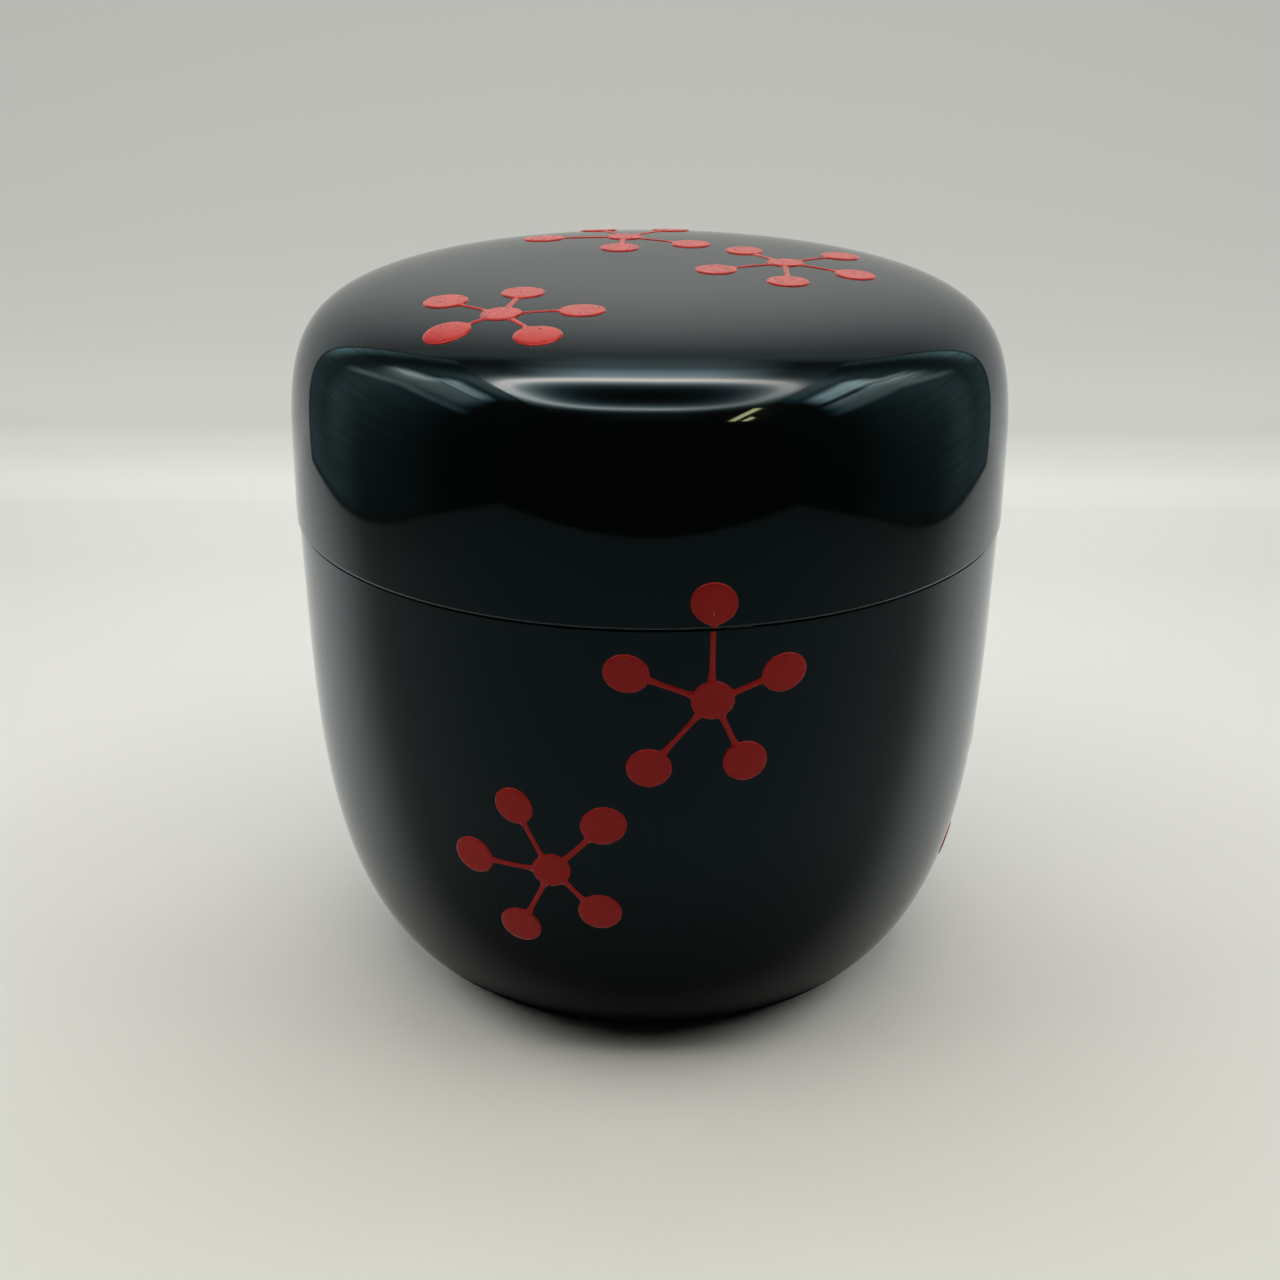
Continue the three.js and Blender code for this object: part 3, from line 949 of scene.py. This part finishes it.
def makeSweep():
    nothingSelected()
    bpy.ops.mesh.primitive_plane_add(size=1, location=(0, 0, 0))
    paper = bpy.context.object
    paper.name = "studioSweep"
    bpy.ops.object.mode_set(mode="EDIT")
    depth = studio["sweepStart"] - studio["floorFront"]
    middle = (studio["sweepStart"] + studio["floorFront"]) / 2
    bpy.ops.transform.resize(value=(2 * studio["floorSide"], depth, 1))
    bpy.ops.transform.translate(value=(0, middle, 0))
    bpy.ops.mesh.select_mode(type="EDGE")
    mesh = bmesh.from_edit_mesh(paper.data)
    for edge in mesh.edges:
        edge.select_set(all(vert.co.y > studio["sweepStart"] - 1 * mm for vert in edge.verts))
    mesh.select_flush_mode()
    bmesh.update_edit_mesh(paper.data)
    bpy.ops.mesh.spin(
        steps=studio["sweepSteps"], angle=-pi / 2, center=(0, studio["sweepStart"], studio["sweepRadius"]),
        axis=(1, 0, 0), use_auto_merge=False)
    bpy.ops.mesh.extrude_region_move(TRANSFORM_OT_translate={"value": (0, 0, studio["wallTop"])})
    bpy.ops.object.mode_set(mode="OBJECT")
    bpy.ops.object.shade_smooth()
    paper.data.materials.append(makePaper())
    corners = [vert.co for vert in paper.data.vertices]
    print("sweep back at", round(max(co.y for co in corners), 3), "up to", round(max(co.z for co in corners), 3))


def addCard(name, corner, firstSide, secondSide, look):
    # A flat card from one corner and its two sides, which only the gloss of the caddy can see
    nothingSelected()
    bpy.ops.mesh.primitive_plane_add(size=1, location=(0, 0, 0))
    card = bpy.context.object
    card.name = name
    bpy.ops.object.mode_set(mode="EDIT")
    bpy.ops.mesh.select_mode(type="VERT")
    mesh = bmesh.from_edit_mesh(card.data)
    for vert in mesh.verts:
        share = vert.co + Vector((0.5, 0.5, 0))
        vert.co = Vector(corner) + Vector(firstSide) * share.x + Vector(secondSide) * share.y
    bmesh.update_edit_mesh(card.data)
    bpy.ops.object.mode_set(mode="OBJECT")
    card.data.materials.append(look)
    card.visible_camera = card.visible_diffuse = card.visible_shadow = card.visible_transmission = False
    return card


# Open dark front of the photo box: a black card behind the camera, which also keeps light off the caddy's front
darkFront = {
    "y": -0.240,
    "halfWidth": 0.415,
    "top": 0.60,
    "lip": 0.020,
    "colour": (0.004, 0.004, 0.004),
}


def makeDarkFront():
    look, shader = newLook("blackCard")[:2]
    feed(look, shader, {"Base Color": darkFront["colour"], "Roughness": 1, "Specular IOR Level": 0})
    half, lift = darkFront["halfWidth"], studio["cardLift"]
    card = addCard("darkFront", (-half, darkFront["y"], lift), (2 * half, 0, 0), (0, 0, darkFront["top"]), look)
    card.visible_shadow = card.visible_diffuse = True
    # low lip where the floor of the box ends
    reach = sideWall["foot"]
    addCard("frontLip", (-reach, sideWall["front"], lift), (2 * reach, 0, 0), (0, 0, darkFront["lip"]), look)


# Foil side walls of the photo box, leaning in a little, each with soft pools of lamplight
sideWall = {
    "foot": 0.180,
    "turn": 0.0163,
    "lean": 0.043,
    "front": -0.197,
    "back": 0.104,
    "top": 0.262,
    "dimColour": (0.62, 1.0, 1.0),
    "brightColour": (0.95, 1.0, 0.87),  # the lamplight in the pools is warmer than the foil round them
    "brightFrom": (0.5, 4),
    "droop": 0.55,  # how far the pools sink for each metre that the wall goes back
    "droopFrom": -0.005,
    "plain": (-0.110, -0.060, 0.02, 0.13),
    "brushed": (55, 4, 0.65, (1, 0.3, 5)),
    "brushedRange": (0.3, 0.7, 0.72, 1.28),
    # thin dark lines: a seam through the pools, the edge on the floor, and the corner
    "seam": {"left": 0.199, "right": 0.182},
    "seamHalf": 1.5 * mm,
    "seamSoft": 1 * mm,
    "seamLeft": 0.3,
    "floorEdge": (1 * mm, 5 * mm, 0.2, 1),
    "corner": (0.098, 0.102, 1, 0.1),
    # along the wall: from, softness, to, softness; the same up it; strength
    "pools": {
        "left": [
            ((-0.095, 0.040, 0.012, 0.025), (0.196, 0.006, 0.230, 0.018), 12.5),
            ((-0.100, 0.040, 0.045, 0.040), (0.138, 0.055, 0.202, 0.008), 5.2),
            ((-0.015, 0.020, 0.048, 0.028), (0.174, 0.020, 0.210, 0.012), 8.5),
            ((-0.115, 0.050, 0.035, 0.050), (0.225, 0.030, 0.500, 0.100), 3.0),
            ((-0.095, 0.100, 0.062, 0.050), (-0.010, 0.200, 0.500, 0.100), 0.95),
            ((0.070, 0.030, 0.200, 0.050), (0.140, 0.050, 0.500, 0.100), 0.80),
            ((-0.105, 0.030, 0.060, 0.030), (0.138, 0.008, 0.158, 0.008), 2.0),
        ],
        "right": [
            ((-0.095, 0.040, 0.018, 0.022), (0.185, 0.012, 0.230, 0.018), 15.5),
            ((-0.100, 0.040, 0.048, 0.040), (0.135, 0.045, 0.184, 0.008), 6.5),
            ((-0.030, 0.025, 0.045, 0.028), (0.166, 0.020, 0.200, 0.012), 6.5),
            ((-0.115, 0.050, 0.035, 0.050), (0.215, 0.035, 0.500, 0.100), 2.5),
            ((-0.095, 0.100, 0.062, 0.050), (-0.010, 0.200, 0.500, 0.100), 0.90),
            ((0.070, 0.030, 0.200, 0.050), (0.140, 0.050, 0.500, 0.100), 0.75),
            ((-0.105, 0.030, 0.060, 0.030), (0.138, 0.008, 0.158, 0.008), 1.4),
        ],
    },
}


def foilShine(look, place, side):
    y, z = axesOf(look, place)[1:]
    behind = calculate(look, "MAXIMUM", calculate(look, "SUBTRACT", y, sideWall["droopFrom"]), 0.0)
    height = calculate(look, "ADD", z, multiply(look, behind, sideWall["droop"]))
    total = softSpread(look, y, *sideWall["plain"])
    for along, up, power in sideWall["pools"][side]:
        pool = multiply(look, window(look, y, *along), window(look, height, *up), power)
        total = calculate(look, "ADD", total, pool)
    brushed = spread(look, noiseAt(look, place, *sideWall["brushed"]), *sideWall["brushedRange"])
    seamAt, half, soft = sideWall["seam"][side], sideWall["seamHalf"], sideWall["seamSoft"]
    seam = window(look, height, seamAt - half, soft, seamAt + half, soft)
    return multiply(
        look, total, brushed, spread(look, seam, 0, 1, 1, sideWall["seamLeft"]),
        softSpread(look, z, *sideWall["floorEdge"]), softSpread(look, y, *sideWall["corner"]))


def makeFoil(side):
    def strength(look, place):
        return foilShine(look, place, side)

    def colour(look, place):
        bright = softSpread(look, foilShine(look, place, side), *sideWall["brightFrom"], 0, 1)
        return blendColours(look, bright, sideWall["dimColour"], sideWall["brightColour"])

    return makeGlow(side + "Foil", colour, strength)


def makeSideWalls():
    depth = sideWall["back"] - sideWall["front"]
    for side, sign in (("left", -1), ("right", 1)):
        addCard(
            side + "Wall", (sign * sideWall["foot"], sideWall["front"], studio["cardLift"]),
            (-sign * sideWall["turn"], depth, 0), (-sign * sideWall["lean"], 0, sideWall["top"]), makeFoil(side))


# Ring lamp in the roof of the box, with its glow and the shine of the roof round it
ringLamp = {
    "middle": (-0.004, -0.0695),
    "height": 0.264,
    "half": (0.1155, 0.0815),
    "corner": 2.7,  # 2 would be an ellipse, and more is squarer
    "taper": 0.12,  # how much wider the ring is at the back
    "tube": 0.005,
    "reach": (-1 * mm, 1 * mm, 0.0120, 0.0085),  # how far the glow goes inside the ring, and outside it
    "power": (-0.15, -0.03, 20, 33),  # from the front of the ring to its back
    "rightChange": (0, 0.11, 0, -13),
    "lampColour": (1.50, 1.09, 0.86),
    "glowColour": (1.22, 1.09, 0.93),
    "shineColour": (0.90, 1.06, 1.06),
    "glowFrom": (0.004, 0.020),
    "shineFrom": (0.020, 0.045),
    # shine of the roof: all over, more behind the caddy, less to the sides except far back
    "roof": (0.06, 0.165, 2.6, 0.5),
    "behind": (0.035, 0.085, 7.5, 0),
    "aside": (0.02, 0.09, 1, 0.06),
    "farBack": (0.09, 0.16, 0, 1),
    "outsideRing": (0, 0.01, 0, 1),
    "atFront": (-0.06, 0.02, 0.02, 1),
    "sides": (-0.30, 0.30),
    "frontEdge": -0.27,
    "backEdge": 0.165,
}


def lampRing(look, place):
    # Distance out from the middle line of the lamp
    x, y = axesOf(look, place)[:2]
    middle, half, corner = ringLamp["middle"], ringLamp["half"], ringLamp["corner"]
    deep = calculate(look, "DIVIDE", calculate(look, "SUBTRACT", y, middle[1]), half[1])
    wide = calculate(look, "DIVIDE", calculate(look, "SUBTRACT", x, middle[0]), half[0])
    widening = calculate(look, "ADD", multiply(look, deep, ringLamp["taper"]), 1.0)
    wide = calculate(look, "DIVIDE", wide, widening)
    powers = [calculate(look, "POWER", calculate(look, "ABSOLUTE", share), corner) for share in (wide, deep)]
    out = calculate(look, "POWER", calculate(look, "ADD", *powers), 1 / corner)
    return multiply(look, calculate(look, "SUBTRACT", out, 1.0), 0.5 * sum(half))


def roofShine(look, place):
    x, y = axesOf(look, place)[:2]
    out = lampRing(look, place)
    away = calculate(look, "SUBTRACT", calculate(look, "ABSOLUTE", out), ringLamp["tube"])
    away = calculate(look, "MAXIMUM", away, 0.0)
    reach = spread(look, out, *ringLamp["reach"])
    fall = calculate(look, "EXPONENT", calculate(look, "DIVIDE", multiply(look, away, -1.0), reach))
    power = calculate(
        look, "ADD", spread(look, y, *ringLamp["power"]), softSpread(look, x, *ringLamp["rightChange"]))
    shine = calculate(
        look, "ADD", softSpread(look, y, *ringLamp["roof"]), softSpread(look, y, *ringLamp["behind"]))
    aside = softSpread(look, calculate(look, "ABSOLUTE", x), *ringLamp["aside"])
    aside = calculate(look, "MAXIMUM", aside, softSpread(look, y, *ringLamp["farBack"]))
    outside = multiply(
        look, softSpread(look, out, *ringLamp["outsideRing"]), softSpread(look, y, *ringLamp["atFront"]))
    return calculate(look, "ADD", multiply(look, fall, power), multiply(look, shine, aside, outside))


def roofColour(look, place):
    away = calculate(look, "ABSOLUTE", lampRing(look, place))
    glow = softSpread(look, away, *ringLamp["glowFrom"], 0, 1)
    near = blendColours(look, glow, ringLamp["lampColour"], ringLamp["glowColour"])
    return blendColours(look, softSpread(look, away, *ringLamp["shineFrom"], 0, 1), near, ringLamp["shineColour"])


def makeRoof():
    left, right = ringLamp["sides"]
    front, depth = ringLamp["frontEdge"], ringLamp["backEdge"] - ringLamp["frontEdge"]
    addCard(
        "roof", (left, front, ringLamp["height"]), (0, depth, 0), (right - left, 0, 0),
        makeGlow("roofShine", roofColour, roofShine))


# Two warm tubes in the room, outside the box, that the lid's shoulder catches
warmTubes = {
    "spots": (0.118, 0.141),
    "width": 0.011,
    "from": -0.142,
    "length": -0.20,
    "height": 0.262,
    "strength": 40,
    "fullShare": 0.7,  # of the length, from the near end; the rest fades out
    "colour": (1.40, 0.93, 0.38),
}


def tubeShine(look, place):
    far = warmTubes["from"] + warmTubes["length"]
    full = warmTubes["from"] + warmTubes["length"] * warmTubes["fullShare"]
    return softSpread(look, axesOf(look, place)[1], far, full, 0, warmTubes["strength"])


def makeWarmTubes():
    look = makeGlow("warmLight", warmTubes["colour"], tubeShine)
    for number, spot in enumerate(warmTubes["spots"], 1):
        addCard(
            "warmTube%d" % number, (spot, warmTubes["from"], warmTubes["height"]),
            (0, warmTubes["length"], 0), (warmTubes["width"], 0, 0), look)


# Soft lights: a bar along each side of the box, a low one in front, a broad one behind and one against each wall
softLights = [
    {"name": "leftBar", "spot": (-0.110, -0.064, 0.264), "size": (0.12, 0.018), "turn": (0, 90), "power": 0.055},
    {"name": "rightBar", "spot": (0.106, -0.064, 0.264), "size": (0.12, 0.018), "turn": (0, 90), "power": 0.055},
    {"name": "frontBar", "spot": (0, -0.19, 0.45), "size": (0.40, 0.08), "turn": (0, 0), "power": 0.25,
     "colour": (1.0, 0.95, 0.70)},
    {"name": "backLight", "spot": (0, 0.22, 0.45), "size": (0.50, 0.30), "turn": (0, 0), "power": 1.29},
    {"name": "leftFill", "spot": (-0.170, -0.01, 0.16), "size": (0.20, 0.10), "turn": (90, -90), "power": 0.262},
    {"name": "rightFill", "spot": (0.170, -0.01, 0.16), "size": (0.20, 0.10), "turn": (90, 90), "power": 0.262},
]
lampColour = (1.0, 1.0, 0.985)


def makeLights():
    # turn is the tilt and then the turn round Z, in degrees
    for light in softLights:
        nothingSelected()
        tilt, turn = (radians(angle) for angle in light["turn"])
        bpy.ops.object.light_add(type="AREA", location=light["spot"], rotation=(tilt, 0, turn))
        lamp = bpy.context.object
        lamp.name = light["name"]
        lamp.data.shape = "RECTANGLE"
        lamp.data.size, lamp.data.size_y = light["size"]
        lamp.data.energy = light["power"]
        lamp.data.color = light.get("colour", lampColour)
        lamp.visible_glossy = False  # the roof card is what the gloss shows


# Room round it: pale where it is seen or mirrored, dim as a light
sky = {"seen": (0.60, 0.61, 0.59), "dim": (0.080, 0.074, 0.060)}


def makeSky():
    world = bpy.data.worlds.new("studioRoom")
    bpy.context.scene.world = world
    world.use_nodes = True
    colour = blendColours(world, seenShare(world), sky["dim"], sky["seen"])
    feed(world, world.node_tree.nodes["Background"], {"Color": colour, "Strength": 1})
    print("studio lit")


view = {
    "spot": (0, -0.16295, 0.10038),
    "turn": (66.70075, -0.25625, 0.38535),
    "lens": 50.625,
    "sensor": 36,
    "nearest": 5 * mm,
}


def makeCamera():
    nothingSelected()
    bpy.ops.object.camera_add(location=view["spot"], rotation=[radians(angle) for angle in view["turn"]])
    camera = bpy.context.object
    camera.name = "tableCamera"
    camera.data.lens = view["lens"]
    camera.data.sensor_width = view["sensor"]
    camera.data.clip_start = view["nearest"]
    bpy.context.scene.camera = camera
    bpy.context.scene.view_settings.view_transform = "Standard"
    print("camera set")


makeCamera()
lidCoat, bodyCoat = makeTurnedCoats()
paintBlossoms(lidCoat, bodyCoat)
makeSweep()
makeDarkFront()
makeSideWalls()
makeRoof()
makeWarmTubes()
makeLights()
makeSky()
